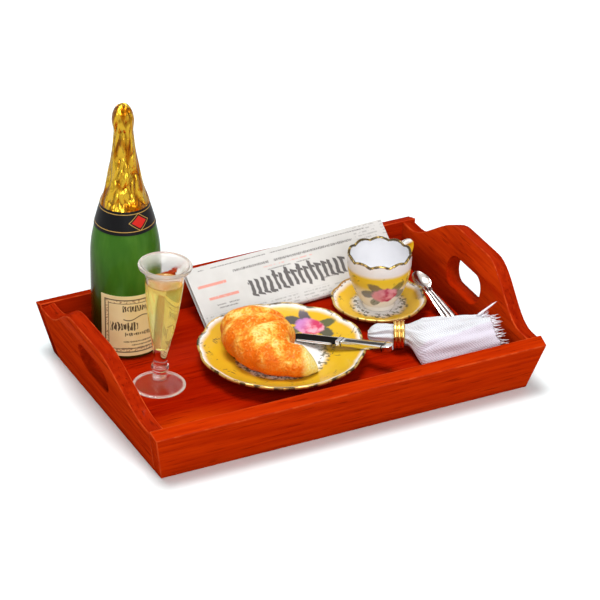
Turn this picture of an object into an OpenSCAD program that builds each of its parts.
// Breakfast tray for a dolls' house in 1:12. A stained wooden tray carries a bottle, a filled
// flute, a plate with a croissant and a knife, a cup and saucer with a spoon, a napkin in its
// ring and a folded newspaper. All sizes are millimetres of the miniature itself.
// +X runs along the tray, +Y to its back and +Z up. The table is at z = 0.

/* [Tray] */
// Length over the top edges of the two ends
tray_l = 60; // [56:0.5:72]
// Depth over the top edges of the two long walls
tray_w = 41.8; // [40:0.2:52]
// Height of the long walls at their outer edge
wall_h = 7.6; // [6:0.1:10]
// Thickness of the wall boards
board_t = 2.1; // [1.2:0.1:2.6]
// Thickness of the base board
base_t = 3; // [1.5:0.1:4]
// Outward lean of the two ends in degrees
end_lean = 12.8; // [6:0.2:16]
// Outward lean of the two long walls in degrees
wall_lean = 16.8; // [8:0.2:20]
// Height of the ends at the hand hold
hold_h = 13.5; // [12.5:0.1:17]
// Length of the level stretch on top of the hand hold
hold_l = 8.4; // [5:0.2:12]
// Run of the curve from the hand hold down to the walls
hold_run = 12.4; // [8:0.2:14]
// Wood above the hand slot
grip_h = 3.5; // [2:0.1:4.2]
// Length of the hand slot
slot_l = 9.6; // [8:0.2:13]
// Height of the hand slot
slot_h = 4.3; // [4.1:0.1:4.8]

/* [Bottle] */
// Radius of the body
bottle_r = 4.95; // [4:0.05:5.6]
// Height to the top of the foil
bottle_h = 38; // [35:0.5:44]
// Rounding of the heel
heel_r = 0.6; // [0.2:0.1:1]
// Height where the shoulder starts
shoulder_z = 14.5; // [11:0.5:17]
// Height where the shoulder has drawn in to the neck
neck_z = 32.5; // [28:0.5:34]
// Radius of the neck under the foil
neck_r = 1.5; // [1:0.05:2]
// Thickness of the foil
foil_t = 0.12; // [0.05:0.01:0.3]
// Height of the foil's lower edge
foil_z = 23; // [21:0.5:26]
// Height of the rounded stopper under the foil
stopper_h = 1.3; // [0.6:0.1:2]
// Thickness of the paper labels
label_t = 0.1; // [0.05:0.01:0.2]
// Height of the neck label, down from the foil
neck_label_h = 3.4; // [1.5:0.1:4.5]
// Height of the front label's lower edge
front_label_z = 0.7; // [0.6:0.1:3]
// Height of the front label
front_label_h = 9.6; // [5:0.1:11]
// Angle that the front label covers
front_label_a = 134; // [60:2:180]

/* [Flute] */
// Height of the glass
flute_h = 19.4; // [17:0.2:24]
// Radius of the flared rim
flute_rim_r = 3.7; // [3:0.05:4.2]
// Radius of the foot
flute_foot_r = 3.74; // [3:0.05:4.2]
// Thickness of the foot
flute_foot_t = 0.5; // [0.3:0.05:0.9]
// Thickness of the wall
flute_t = 0.4; // [0.25:0.05:0.6]
// Outer radius of the bowl below the rim
flute_bowl_r = 2.75; // [2.3:0.05:3]
// Height where the bowl starts
flute_bowl_z = 4.9; // [4.5:0.1:6]
// Height of the flare below the rim
flute_flare_h = 2; // [1.4:0.1:3]
// Radius of the stem
stem_r = 0.95; // [0.7:0.05:1.1]
// Radius over the knop in the stem
knop_r = 1.25; // [1.15:0.05:1.6]
// Height of the knop's middle
knop_z = 3.1; // [2.4:0.1:3.6]
// Lean of the hand drawn stem and bowl over the foot in degrees
flute_lean = 3; // [0:0.2:4]
// Direction of that lean, from +X
flute_lean_turn = -20; // [-180:5:180]
// Room left above the drink
drink_room = 2.8; // [2.2:0.1:8]

/* [Plate] */
// Radius over the scallops
plate_r = 12; // [10:0.1:12.6]
// Height of the rim
plate_h = 2.8; // [1.8:0.1:3.2]
// Radius of the level well
plate_well_r = 6.8; // [6:0.1:8]
// Radius of the foot ring
plate_foot_r = 5.6; // [4:0.1:5.9]
// Number of scallops
plate_scallops = 12; // [8:1:16]
// Depth of the scallops
plate_scallop_d = 0.3; // [0.1:0.05:0.5]
// Thickness of the porcelain in plate and saucer
dish_t = 0.45; // [0.3:0.05:0.7]
// Height of the foot rings under plate and saucer
foot_ring_h = 0.45; // [0.2:0.05:0.8]
// Width of the foot rings
foot_ring_w = 0.5; // [0.3:0.05:0.9]

/* [Croissant] */
// Widest half width of the croissant
croissant_r = 4.9; // [3.5:0.1:5.2]
// Height of the croissant as a share of its width
croissant_rise = 0.7; // [0.45:0.01:0.75]
// Number of rolled ridges
croissant_ridges = 6; // [3:1:9]
// Depth of the grooves between the ridges, as a share of the width
croissant_groove = 0.07; // [0:0.01:0.12]

/* [Knife] */
// Length over all
knife_l = 16.5; // [15:0.1:17.5]
// Length of the blade
blade_l = 7.6; // [6:0.1:9]
// Width of the blade
blade_w = 2.1; // [1.2:0.1:2.4]
// Thickness of the blade
blade_t = 0.3; // [0.2:0.05:0.4]
// Width of the handle at its end
knife_end_w = 1.8; // [1.2:0.1:2.2]
// Width of the handle at the blade
knife_neck_w = 1.1; // [0.8:0.1:1.4]
// Thickness of the handle
knife_t = 0.8; // [0.5:0.05:1.1]
// Turn of the knife on the plate
knife_turn = -55; // [-62:0.5:-50]

/* [Cup and saucer] */
// Radius of the saucer over its scallops
saucer_r = 6.95; // [6:0.05:7.8]
// Height of the saucer's rim
saucer_h = 2.1; // [1.6:0.1:2.6]
// Width of the level ring that the well leaves round the cup's foot
saucer_ledge = 1.8; // [0.6:0.1:2.2]
// Number of scallops on the saucer
saucer_scallops = 10; // [6:1:14]
// Depth of the saucer's scallops
saucer_scallop_d = 0.22; // [0.1:0.02:0.4]
// Radius of the cup's rim
cup_r = 4.65; // [4:0.05:5]
// Height of the cup
cup_h = 8.7; // [7:0.1:9]
// Thickness of the cup's wall
cup_t = 0.42; // [0.3:0.02:0.6]
// Radius of the cup's foot
cup_foot_r = 2.4; // [1.9:0.05:2.8]
// Height of the cup's foot
cup_foot_h = 0.7; // [0.4:0.05:1]
// Finger gap inside the handle
finger_gap = 1.6; // [1:0.05:1.6]
// Thickness of the handle along the cup's radius
handle_t = 0.8; // [0.5:0.05:0.9]
// Width of the handle across
handle_w = 1; // [0.6:0.05:1]
// Direction of the handle, from +X
handle_turn = 20; // [16:1:40]

/* [Spoon] */
// Length over all
spoon_l = 9.4; // [8.8:0.1:10.6]
// Length of the bowl
spoon_bowl_l = 3.3; // [2.6:0.1:3.6]
// Width of the bowl
spoon_bowl_w = 2.3; // [1.8:0.1:2.5]
// Radius of the bowl's hollow
spoon_hollow_r = 2.5; // [2.2:0.1:3.5]
// Thickness of the metal
spoon_t = 0.4; // [0.25:0.05:0.6]
// Width of the handle at its end
spoon_end_w = 2.2; // [1.2:0.1:2.2]
// Width of the handle at the bowl
spoon_neck_w = 1.2; // [0.6:0.1:1.4]
// Turn of the spoon, from the handle's end to the bowl
spoon_turn = 102; // [98:1:104]
// Run from the handle's end to where it crosses the saucer's rim
spoon_run = 4.9; // [4.4:0.1:5.6]

/* [Napkin] */
// Radius over the ribs of the ring
ring_r = 2.15; // [2:0.05:2.6]
// Radius of the ring's bore
ring_bore_r = 1.75; // [1.5:0.05:1.85]
// Radius of one rib
rib_r = 0.27; // [0.15:0.01:0.3]
// Number of ribs
ring_ribs = 3; // [1:1:5]
// Air between the gathered cloth and the ring
ring_fit = 0.15; // [0.08:0.01:0.3]
// Length of the rolled cloth before the ring
stub_l = 4.4; // [3.6:0.1:4.8]
// Length of the spread cloth behind the ring
fan_l = 13.2; // [11:0.1:13.6]
// Reach of the spread cloth to the front
fan_front = 6; // [4:0.1:6.4]
// Reach of its far end to the front
fan_end_front = 4.5; // [3:0.1:5]
// Reach of the spread cloth to the back
fan_back = 2.8; // [2:0.1:3.4]
// Height of the spread cloth
fan_h = 4.9; // [4:0.1:5.5]
// Height of its far end
fan_end_h = 5.6; // [4:0.1:6]
// Number of folds round the spread cloth
fan_folds = 9; // [5:1:12]
// Depth of the folds as a share of the cloth's reach
fan_fold_d = 0.06; // [0.02:0.01:0.1]
// Turn of the napkin on the tray
napkin_turn = -26.5; // [-32:0.5:-22]

/* [Newspaper] */
// Width along the fold
paper_w = 32.8; // [28:0.2:34]
// Height from the fold to the free edges
paper_h = 9.4; // [8.4:0.1:11]
// Thickness of one leaf
leaf_t = 0.22; // [0.12:0.02:0.3]
// Outer radius of the fold
fold_r = 0.45; // [0.35:0.01:0.6]
// Turn of the fold against the back wall
paper_turn = 3.2; // [0:0.2:5]

/* [Places on the tray] */
// Gap under or beside a piece that rests on a curved or sloping face
seat_gap = 0.1; // [0.05:0.01:0.2]
// From the left end to the bottle
bottle_end_gap = 2.1; // [0.5:0.1:4]
// From the back wall to the bottle
bottle_back_gap = 0.3; // [0.2:0.05:1]
// From the left end to the flute's foot
flute_end_gap = 2.6; // [0.5:0.1:4]
// From the bottle to the flute's foot
flute_bottle_gap = 4.1; // [1:0.1:5]
// From the flute's foot to the plate
plate_flute_gap = 2.6; // [0.5:0.1:4]
// From the front wall to the plate
plate_front_gap = 3.3; // [1:0.1:4.4]
// From the right end to the saucer
saucer_end_gap = 2.85; // [2.2:0.05:3.2]
// Between the saucer's rim and the newspaper
saucer_paper_gap = 0.2; // [0.1:0.05:1]
// Between the cup and the spoon that leans on it
spoon_cup_gap = 0.25; // [0.15:0.01:0.5]
// From the right end to the spread napkin
napkin_end_gap = 0.5; // [0.3:0.05:1]
// From the front wall to the spread napkin
napkin_front_gap = 0.5; // [0.3:0.05:2]
// From the plate to the newspaper's fold
paper_plate_gap = 0.2; // [0.2:0.05:1]
// From the right end to the newspaper
paper_end_gap = 2.2; // [0.8:0.1:4]

/* [Hidden] */
$fn = 96;

// Steps along a drawn curve
curve_steps = 14;
// How far a cutting shape runs past what it cuts
past = 1;
// Height that every cutting shape of the tray reaches
cut_h = 2 * hold_h;
reach = 2 * tray_l;

// Curves and small sums
function ease(t) = let (c = min(1, max(0, t))) c * c * (3 - 2 * c);
function mix(a, b, t) = a + (b - a) * t;
function bezier_at(p, t) =
    let (u = 1 - t) u * u * u * p[0] + 3 * u * u * t * p[1] + 3 * u * t * t * p[2] + t * t * t * p[3];
function bezier(p, n = curve_steps) = [for (i = [0:n]) bezier_at(p, i / n)];
function backwards(list) = [for (i = [len(list) - 1:-1:0]) list[i]];
function unit(a) = [cos(a), sin(a)];

// Faces of the leaning walls at height z, measured from the middle of the tray
function outer_x(z) = tray_l / 2 - tan(end_lean) * (wall_h - z);
function outer_y(z) = tray_w / 2 - tan(wall_lean) * (wall_h - z);
function inner_x(z) = outer_x(z) - board_t / cos(end_lean);
function inner_y(z) = outer_y(z) - board_t / cos(wall_lean);
wall_edge_y = tray_w / 2 - board_t * cos(wall_lean);
wall_edge_z = wall_h + board_t * sin(wall_lean);
slot_z = hold_h - grip_h - slot_h / 2;
floor_x = inner_x(base_t);
floor_y = inner_y(base_t);

// Where the pieces stand on the floor
bottle_at = [-floor_x + bottle_end_gap + bottle_r, floor_y - bottle_back_gap - bottle_r];
flute_at = [-floor_x + flute_end_gap + flute_foot_r,
            bottle_at.y - bottle_r - flute_bottle_gap - flute_foot_r];
plate_at = [flute_at.x + flute_foot_r + plate_flute_gap + plate_r,
            -floor_y + plate_front_gap + plate_r];

// The newspaper's fold lies on the floor behind the plate, and its back leaf leans on the back
// wall's inner edge, which it meets first at its right end. The saucer's rim reaches just over it.
paper_way = unit(paper_turn);
paper_back = [-paper_way.y, paper_way.x];
paper_right = floor_x - paper_end_gap;
fold_z = base_t + seat_gap + fold_r;
fold_off = plate_r + paper_plate_gap + fold_r;
fold_right = [
    paper_right,
    plate_at.y + (fold_off + (paper_right - plate_at.x) * paper_way.y) / paper_way.x
];
edge_off = ([paper_right, wall_edge_y] - plate_at) * paper_back - fold_off;
edge_up = wall_edge_z - fold_z;
paper_lean = atan2(edge_up, edge_off) + asin((fold_r + seat_gap) / norm([edge_off, edge_up]));
function paper_front_y(x, z) =
    fold_right.y + (x - fold_right.x) * tan(paper_turn) - fold_r * sin(paper_lean)
    + (z - fold_z - fold_r * cos(paper_lean)) / tan(paper_lean);
saucer_x = floor_x - saucer_end_gap - saucer_r;
saucer_at = [
    saucer_x,
    paper_front_y(saucer_x, base_t + saucer_h - dish_t) - saucer_paper_gap - saucer_r
];

// Surface of the plate at a radius, and height of its well and the saucer's
dish_well_z = foot_ring_h + dish_t;
function plate_top(r) =
    dish_well_z + max(0, r - plate_well_r) / (plate_r - plate_well_r) * (plate_h - dish_well_z);

// Prism along X over points in Y and Z, and prism along Y over points in X and Z
module along_x(points, length) rotate([90, 0, 90]) translate([0, 0, -length / 2])
    linear_extrude(length) polygon(points);
module along_y(points, length) rotate([90, 0, 0]) translate([0, 0, -length / 2])
    linear_extrude(length) polygon(points);

// Section between two mirrored leaning faces, from the table up to height top
function between(low, high, top) = [[-low, 0], [low, 0], [high, top], [-high, top]];

// Back wall: a square edged board that leans outward and is cut flush with the ends
module long_wall() intersection() {
    along_x([
        [outer_y(0), 0], [tray_w / 2, wall_h], [wall_edge_y, wall_edge_z], [inner_y(0), 0]
    ], reach);
    along_y(between(outer_x(0), outer_x(cut_h), cut_h), reach);
}

// Outline of an end board in its own plane: level at the walls, raised at the hand hold
function end_top(y) = mix(wall_h, hold_h, ease((hold_l / 2 + hold_run - abs(y)) / hold_run));
function end_slope() = [
    for (i = [0:curve_steps])
        let (y = mix(hold_l / 2, hold_l / 2 + hold_run, i / curve_steps)) [y, end_top(y)]
];
function end_outline() =
    let (
        half = max(tray_w / 2, hold_l / 2 + hold_run + past),
        right = concat(end_slope(), [[half, wall_h], [half, -board_t]]),
        left = [for (p = backwards(right)) [-p.x, p.y]]
    )
    [for (p = concat(left, right)) [p.x, p.y / cos(end_lean)]];

// Right end: a leaning board between the long walls, with its hand slot
module end_board() difference() {
    intersection() {
        translate([outer_x(0), 0, 0]) rotate([0, end_lean, 0]) translate([-board_t, 0, 0])
            rotate([90, 0, 90]) linear_extrude(board_t) polygon(end_outline());
        along_x(between(inner_y(0), inner_y(cut_h), cut_h), reach);
    }
    translate([outer_x(slot_z), 0, slot_z]) hand_slot();
}

module hand_slot() {
    depth = 4 * (board_t + slot_h * tan(end_lean));
    straight = slot_l - slot_h;
    cube([depth, straight, slot_h], center = true);
    for (side = [-1, 1]) translate([0, side * straight / 2, 0])
        rotate([0, 90, 0]) cylinder(d = slot_h, h = depth, center = true);
}

module tray_base() color("#8e1a07") intersection() {
    along_x(between(inner_y(0), inner_y(base_t), base_t), reach);
    along_y(between(inner_x(0), inner_x(base_t), base_t), reach);
}
module tray_front_wall() color("#b02a0a") mirror([0, 1, 0]) long_wall();
module tray_back_wall() color("#b02a0a") long_wall();
module tray_left_end() color("#a8260a") mirror([1, 0, 0]) end_board();
module tray_right_end() color("#a8260a") end_board();

// Bottle. Its shoulder is one curve, and the foil and the neck label lie on stretches of it.
mouth_z = bottle_h - stopper_h;
neck_label_z = foil_z - neck_label_h;
shoulder_pull = [0.33, 0.56];
neck_swell = 0.5;
shoulder = [
    [bottle_r, shoulder_z],
    [bottle_r, mix(shoulder_z, neck_z, shoulder_pull[0])],
    [neck_r + neck_swell, mix(shoulder_z, neck_z, shoulder_pull[1])],
    [neck_r, neck_z]
];
function curve_at_z(p, z, low = 0, high = 1, n = 30) =
    let (m = (low + high) / 2)
    n == 0 ? m : bezier_at(p, m)[1] < z ? curve_at_z(p, z, m, high, n - 1) : curve_at_z(p, z, low, m, n - 1);
function glass_side(z1, z2, out = 0) = [
    for (i = [0:curve_steps])
        let (z = mix(z1, z2, i / curve_steps)) [bezier_at(shoulder, curve_at_z(shoulder, z))[0] + out, z]
];
function quarter(n = 6) = [for (i = [0:n]) 90 * i / n];

module on_floor(at) translate([at.x, at.y, base_t]) children();

module bottle_body() color("#1d6b2c") on_floor(bottle_at) rotate_extrude() polygon(concat(
    [[0, 0]],
    [for (a = quarter()) [bottle_r - heel_r + heel_r * sin(a), heel_r - heel_r * cos(a)]],
    glass_side(shoulder_z, neck_label_z),
    glass_side(neck_label_z, foil_z),
    glass_side(foil_z, neck_z),
    [[neck_r, mouth_z], [0, mouth_z]]
));

module bottle_foil() color("#d79a1e") on_floor(bottle_at) rotate_extrude() polygon(concat(
    glass_side(foil_z, neck_z, foil_t),
    [for (a = quarter()) [(neck_r + foil_t) * cos(a), mouth_z + stopper_h * sin(a)]],
    [[0, mouth_z], [neck_r, mouth_z]],
    backwards(glass_side(foil_z, neck_z))
));

module bottle_neck_label() color("#17161a") on_floor(bottle_at) rotate_extrude() polygon(concat(
    glass_side(neck_label_z, foil_z, label_t),
    backwards(glass_side(neck_label_z, foil_z))
));

module bottle_front_label() color("#e9dcae") on_floor(bottle_at)
    rotate([0, 0, -90 - front_label_a / 2]) rotate_extrude(angle = front_label_a)
        translate([bottle_r, front_label_z]) square([label_t, front_label_h]);

// Flute. The cavity follows the bowl at the wall's thickness, and the drink fills it.
flute_neck_z = flute_h - flute_flare_h;
flute_floor_t = 1.2;
flute_rim_t = 0.45;
flute_rim_w = 0.28;
knop_t = 0.55;
cove_r = 1.6;
collar_over = 0.2;
collar_r = stem_r + collar_over;
collar_z = 1.5;
bowl_swell = [0.37, 0.78];
bowl_rise = [0.27, 0.53];
flare_swell = 0.6;
function bowl_curve(low, r1, r2) = [
    [r1, low],
    [mix(r1, r2, bowl_swell[0]), mix(low, flute_neck_z, bowl_rise[0])],
    [mix(r1, r2, bowl_swell[1]), mix(low, flute_neck_z, bowl_rise[1])],
    [r2, flute_neck_z]
];
function flare_curve(r1, r2, top) = [
    [r1, flute_neck_z], [r1, (flute_neck_z + top) / 2], [mix(r1, r2, flare_swell), top], [r2, top]
];
module flute_cavity() rotate_extrude() polygon(concat(
    [[0, flute_bowl_z + flute_floor_t]],
    bezier(bowl_curve(flute_bowl_z + flute_floor_t, stem_r - flute_t, flute_bowl_r - flute_t)),
    bezier(flare_curve(flute_bowl_r - flute_t, flute_rim_r - flute_rim_w, flute_h)),
    [[flute_rim_r - flute_rim_w, flute_h + past], [0, flute_h + past]]
));

// The stem and the bowl lean a little over the level foot
module flute_leaning() translate([0, 0, flute_foot_t / 2])
    rotate(flute_lean, [-unit(flute_lean_turn).y, unit(flute_lean_turn).x, 0])
        translate([0, 0, -flute_foot_t / 2]) children();

module flute_glass() color("#dfe8e4") on_floor(flute_at) difference() {
    union() {
        rotate_extrude() polygon(concat(
            [[0, 0], [flute_foot_r, 0], [flute_foot_r, flute_foot_t / 2]],
            bezier([
                [cove_r, flute_foot_t], [collar_r, flute_foot_t],
                [collar_r, (flute_foot_t + collar_z) / 2], [collar_r, collar_z]
            ]),
            [[0, collar_z]]
        ));
        flute_leaning() rotate_extrude() {
            polygon(concat(
                [[0, flute_foot_t], [stem_r, flute_foot_t]],
                bezier(bowl_curve(flute_bowl_z, stem_r, flute_bowl_r)),
                bezier(flare_curve(flute_bowl_r, flute_rim_r, flute_h - flute_rim_t)),
                [[flute_rim_r, flute_h], [0, flute_h]]
            ));
            translate([knop_r - knop_t, knop_z]) circle(knop_t);
        }
    }
    flute_leaning() flute_cavity();
}

module flute_drink() color("#e3d27a") on_floor(flute_at) flute_leaning() intersection() {
    flute_cavity();
    cylinder(r = flute_rim_r, h = flute_h - drink_room);
}

// Scalloped outline: equal round lobes that reach r and meet d further in
function lobe_offset(r, d, n) = (r * r - (r - d) * (r - d)) / (2 * (r - (r - d) * cos(180 / n)));
module scallops(r, d, n, h) {
    offset_r = lobe_offset(r, d, n);
    for (i = [0:n - 1]) rotate([0, 0, 360 * i / n]) translate([offset_r, 0, 0])
        cylinder(r = r - offset_r, h = h);
}

// Plate or saucer: a level well on a foot ring and a sloping scalloped rim
module dish(r, h, well_r, foot_r, scallop_d, n) intersection() {
    rotate_extrude() polygon([
        [0, foot_ring_h], [foot_r - foot_ring_w, foot_ring_h], [foot_r - foot_ring_w, 0], [foot_r, 0],
        [foot_r, foot_ring_h], [well_r, foot_ring_h], [r, h - dish_t], [r, h],
        [well_r, dish_well_z], [0, dish_well_z]
    ]);
    scallops(r, scallop_d, n, h);
}

module plate() color("#f0d048") on_floor(plate_at)
    dish(plate_r, plate_h, plate_well_r, plate_foot_r, plate_scallop_d, plate_scallops);

// Closed skin over rings of points that all have the same number of points
function middle(ring) = [for (i = [0:2]) [for (p = ring) p[i]] * [for (p = ring) 1] / len(ring)];
module skin(rings) {
    n = len(rings[0]);
    last = len(rings) - 1;
    first_cap = (last + 1) * n;
    points = concat([for (ring = rings) each ring], [middle(rings[0]), middle(rings[last])]);
    sides = [
        for (i = [0:last - 1]) for (j = [0:n - 1])
            let (a = i * n + j, b = i * n + (j + 1) % n)
            each [[a, b, a + n], [b, b + n, a + n]]
    ];
    caps = [
        for (j = [0:n - 1])
            let (k = (j + 1) % n)
            each [[first_cap, k, j], [first_cap + 1, last * n + j, last * n + k]]
    ];
    polyhedron(points, concat(sides, caps), convexity = 6);
}

// Croissant. Its rings stand across a bent path over the plate, given as shares of the plate's
// radius, and rest on the plate's surface.
croissant_path = plate_r * [[-0.035, 0.626], [-0.322, 0.4], [-0.374, -0.365], [0.235, -0.496]];
croissant_swell = [0.6, 1.3, 1.05, 0.55];
croissant_blunt = 5;
groove_sharp = 6;
croissant_rings = 36;
croissant_sides = 20;
croissant_tip = 0.12;
croissant_sit = 0.8;
croissant_flat = 0.62;
path_step = 0.01;
function croissant_half(t) =
    let (
        swell = bezier_at(croissant_swell, t),
        ends = sqrt(max(0, 1 - pow(abs(2 * t - 1), croissant_blunt))),
        groove = 1 - croissant_groove * pow(abs(cos(180 * croissant_ridges * t)), groove_sharp)
    )
    croissant_r * max(croissant_tip, swell * ends * groove);
function croissant_ring(t) =
    let (
        p = bezier_at(croissant_path, t),
        way = bezier_at(croissant_path, t + path_step) - bezier_at(croissant_path, t - path_step),
        across = [way.y, -way.x] / norm(way),
        r = croissant_half(t),
        rest = plate_top(norm(p) + croissant_flat * r) + seat_gap,
        rise = r * croissant_rise
    )
    [for (j = [0:croissant_sides - 1])
        let (q = p + across * r * cos(360 * j / croissant_sides))
        [q.x, q.y, rest + max(0, rise * (croissant_sit + sin(360 * j / croissant_sides)))]];

module croissant() color("#e08a2c") on_floor(plate_at)
    skin([for (i = [0:croissant_rings]) croissant_ring(i / croissant_rings)]);

// Knife. Its handle lies on the plate's rim and its blade's tip just over the well.
knife_tip_at = plate_r * [0.287, 0.322];
knife_tip_r = norm(knife_tip_at);
knife_run =
    let (back = knife_tip_at * unit(knife_turn))
    -back + sqrt(back * back - knife_tip_r * knife_tip_r + plate_r * plate_r);
knife_tip_z = plate_top(knife_tip_r) + seat_gap - (knife_t - blade_t) / 2;
knife_lean = atan((plate_h + seat_gap - knife_tip_z) / knife_run);
bolster_l = 0.5;
bolster_over = 0.15;
blade_tip = [
    [blade_w, blade_w / 2], [blade_w / 4, blade_w / 2], [0, blade_w / 4], [0, 0]
];
blade_edge = [
    [0, 0], [0, -blade_w / 3], [blade_w / 2, -blade_w / 2], [blade_w * 2, -blade_w / 2]
];
knife_taper = [0.4, 0.6];
knife_side = [
    [blade_l + bolster_l, knife_neck_w / 2],
    [mix(blade_l, knife_l, knife_taper[0]), knife_neck_w / 2],
    [mix(blade_l, knife_l, knife_taper[1]), knife_end_w / 2],
    [knife_l - knife_end_w / 2, knife_end_w / 2]
];
function mirrored(points) = [for (p = points) [p.x, -p.y]];

module butter_knife() color("#c9ccd0") on_floor(plate_at)
    translate([knife_tip_at.x, knife_tip_at.y, knife_tip_z])
        rotate([0, 0, knife_turn]) rotate([0, -knife_lean, 0]) {
            translate([0, 0, (knife_t - blade_t) / 2]) linear_extrude(blade_t) polygon(concat(
                [for (y = [-blade_w / 4, blade_w / 4]) [blade_l + bolster_l, y]],
                [[blade_l, blade_w / 2]],
                bezier(blade_tip),
                bezier(blade_edge),
                [[blade_l - blade_w / 2, -blade_w / 2]]
            ));
            linear_extrude(knife_t) polygon(concat(
                bezier(knife_side),
                [for (a = [75:-15:-75]) [knife_l - knife_end_w / 2, 0] + unit(a) * knife_end_w / 2],
                backwards(bezier(mirrored(knife_side)))
            ));
            translate([blade_l, -knife_neck_w / 2 - bolster_over, 0])
                cube([2 * bolster_l, knife_neck_w + 2 * bolster_over, knife_t]);
        }

// Saucer and cup. The well leaves a level ledge round the cup's foot.
saucer_well_r = cup_foot_r + saucer_ledge;
saucer_foot_r = saucer_well_r - foot_ring_w;

module saucer() color("#f0d048") on_floor(saucer_at)
    dish(saucer_r, saucer_h, saucer_well_r, saucer_foot_r, saucer_scallop_d, saucer_scallops);

cup_floor_t = 0.45;
cup_belly = [0.25, 1.12];
cup_rise = [0.09, 0.43];
function cup_curve(r1, z1, r2) = [
    [r1, z1],
    [mix(r1, r2, cup_belly[0]), mix(z1, cup_h, cup_rise[0])],
    [mix(r1, r2, cup_belly[1]), mix(z1, cup_h, cup_rise[1])],
    [r2, cup_h]
];
module cup_cavity() rotate_extrude() polygon(concat(
    [[0, cup_foot_h + cup_floor_t]],
    bezier(cup_curve(cup_foot_r - cup_t, cup_foot_h + cup_floor_t, cup_r - cup_t)),
    [[cup_r - cup_t, cup_h + past], [0, cup_h + past]]
));
module cup_outside() rotate_extrude() polygon(concat(
    [[0, 0], [cup_foot_r, 0]], bezier(cup_curve(cup_foot_r, cup_foot_h, cup_r)), [[0, cup_h]]
));

// Handle: a flat ear between two curves that start and end inside the cup's wall. Each curve's
// middle, an eighth of its ends and six eighths of its pull, reaches far.
handle_drop = 0.55;
handle_low = 0.4;
handle_draw_in = 0.84;
handle_sag = 0.6;
handle_lift = 1;
handle_top_z = cup_h - handle_drop;
handle_low_z = handle_low * cup_h;
handle_root = cup_r - cup_t / 2;
handle_foot = handle_draw_in * handle_root;
function handle_curve(inset) =
    let (
        top = handle_top_z - inset,
        low = handle_low_z + inset,
        far = cup_r + finger_gap + handle_t - inset,
        pull = (8 * far - handle_root - handle_foot) / 6
    )
    [[handle_root, top], [pull, top + handle_lift], [pull, mix(low, top, handle_sag)], [handle_foot, low]];

module teacup() color("#f4e08a") on_floor(saucer_at) translate([0, 0, dish_well_z]) difference() {
    union() {
        cup_outside();
        rotate([90, 0, handle_turn]) translate([0, 0, -handle_w / 2]) linear_extrude(handle_w)
            polygon(concat(bezier(handle_curve(0)), backwards(bezier(handle_curve(handle_t)))));
    }
    cup_cavity();
}

// Spoon. Its handle's end stands on the floor and its bowl rests over the saucer's rim, past the cup.
spoon_way = unit(spoon_turn);
spoon_side = [spoon_way.y, -spoon_way.x];
spoon_off = cup_r + spoon_cup_gap + spoon_bowl_w / 2;
spoon_rim_off = spoon_off - spoon_neck_w / 2;
spoon_chord = sqrt(max(0, saucer_r * saucer_r - spoon_rim_off * spoon_rim_off));
spoon_end_at = saucer_at + spoon_side * spoon_off - spoon_way * (spoon_chord + spoon_run);
spoon_lean = atan((saucer_h + seat_gap) / spoon_run);
spoon_dip = spoon_hollow_r - sqrt(pow(spoon_hollow_r, 2) - pow(spoon_bowl_l / 2, 2));
spoon_bowl_z = spoon_t + spoon_hollow_r - spoon_dip;
spoon_egg = 0.12;
bowl_overlap = 0.15;
spoon_tuck = spoon_l - spoon_bowl_l * (1 - bowl_overlap);

module spoon() color("#cfd2d4") translate([spoon_end_at.x, spoon_end_at.y, base_t + seat_gap])
    rotate([0, 0, spoon_turn]) rotate([0, -spoon_lean, 0]) {
        linear_extrude(spoon_t) polygon(concat(
            [for (a = [255:-30:105]) [spoon_end_w / 4, 0] + [unit(a).x / 4, unit(a).y / 2] * spoon_end_w],
            [
                [spoon_l - spoon_bowl_l, spoon_neck_w / 2],
                [spoon_tuck, spoon_neck_w / 2],
                [spoon_tuck, -spoon_neck_w / 2],
                [spoon_l - spoon_bowl_l, -spoon_neck_w / 2]
            ]
        ));
        translate([spoon_l - spoon_bowl_l / 2, 0, spoon_bowl_z]) intersection() {
            difference() {
                sphere(spoon_hollow_r + spoon_t);
                sphere(spoon_hollow_r);
            }
            translate([0, 0, -spoon_bowl_z - spoon_hollow_r]) linear_extrude(spoon_hollow_r + spoon_bowl_z)
                polygon([
                    for (a = [0:10:350])
                        [unit(a).x * spoon_bowl_l, unit(a).y * spoon_bowl_w * (1 - spoon_egg * cos(a))] / 2
                ]);
        }
    }

// Napkin. Its axis runs through the ring; it is rolled before the ring and spreads behind it, and
// its spread end is cut level with the tray's end.
napkin_way = unit(napkin_turn);
end_slant = tan(napkin_turn);
napkin_at = [
    floor_x - napkin_end_gap - fan_l * napkin_way.x,
    -floor_y + napkin_front_gap - fan_l * napkin_way.y + fan_end_front / napkin_way.x
];
ring_z = ring_r + seat_gap;
cloth_r = ring_bore_r - ring_fit;
napkin_sides = 36;
napkin_rings = 30;
fan_start = 1.1;
fan_open = 2.6;
stub_round = 1.2;
stub_tip = 0.03;
function spread(s) = ease((s - fan_start) / fan_open);
function toward_end(s) = ease((s - fan_start) / (fan_l - fan_start));
function napkin_round(s) =
    min(1, sqrt(max(stub_tip, 1 - pow(max(0, -s - stub_l + stub_round) / stub_round, 2))));
function napkin_fold(s, a) = 1 - fan_fold_d * spread(s) * max(0, sin(a)) * (1 + cos(fan_folds * a));
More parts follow.
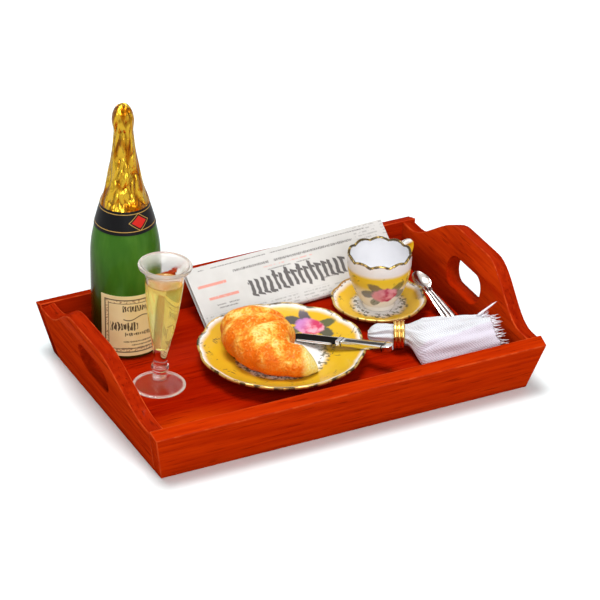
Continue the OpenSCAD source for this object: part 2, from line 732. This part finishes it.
function napkin_point(s, a) =
    let (
        w = spread(s),
        fold = napkin_fold(s, a),
        small = cloth_r * napkin_round(s),
        wide = cos(a) > 0 ? fan_back : mix(fan_front, fan_end_front, toward_end(s)),
        high = mix(fan_h, fan_end_h, toward_end(s)),
        y = mix(small * cos(a), wide * cos(a) * fold, w),
        z = mix(ring_z + small * sin(a), seat_gap + high * max(0, sin(a)) * fold, w)
    )
    [s + end_slant * y * toward_end(s), y, z];
function napkin_ring_points(s) = [for (j = [0:napkin_sides - 1]) napkin_point(s, -360 * j / napkin_sides)];

module napkin() color("#eeeef4") on_floor(napkin_at) rotate([0, 0, napkin_turn])
    skin([for (i = [0:napkin_rings]) napkin_ring_points(mix(-stub_l, fan_l, i / napkin_rings))]);

module napkin_ring() color("#d3a43a") on_floor(napkin_at) rotate([0, 0, napkin_turn])
    translate([0, 0, ring_z]) rotate([0, 90, 0]) rotate_extrude() {
        width = 2 * rib_r * ring_ribs;
        translate([ring_bore_r, -width / 2]) square([ring_r - rib_r - ring_bore_r, width]);
        for (i = [0:ring_ribs - 1])
            translate([ring_r - rib_r, (2 * i + 1 - ring_ribs) * rib_r])
                intersection() {
                    circle(rib_r);
                    translate([ring_bore_r - ring_r + rib_r, -rib_r]) square([ring_r, 2 * rib_r]);
                }
    }

// Newspaper: two leaves joined by a round fold
module newspaper() color("#e6e4de")
    translate([fold_right.x, fold_right.y, fold_z]) rotate([0, 0, paper_turn])
        rotate([paper_lean, 0, 0]) rotate([0, -90, 0]) linear_extrude(paper_w) {
            difference() {
                circle(fold_r);
                circle(fold_r - leaf_t);
                translate([-fold_r, 0]) square([2 * fold_r, fold_r]);
            }
            for (x = [-fold_r, fold_r - leaf_t]) translate([x, 0]) square([leaf_t, paper_h - fold_r]);
        }

tray_base();
tray_front_wall();
tray_back_wall();
tray_left_end();
tray_right_end();
bottle_body();
bottle_foil();
bottle_neck_label();
bottle_front_label();
flute_glass();
flute_drink();
plate();
croissant();
butter_knife();
saucer();
teacup();
spoon();
napkin();
napkin_ring();
newspaper();
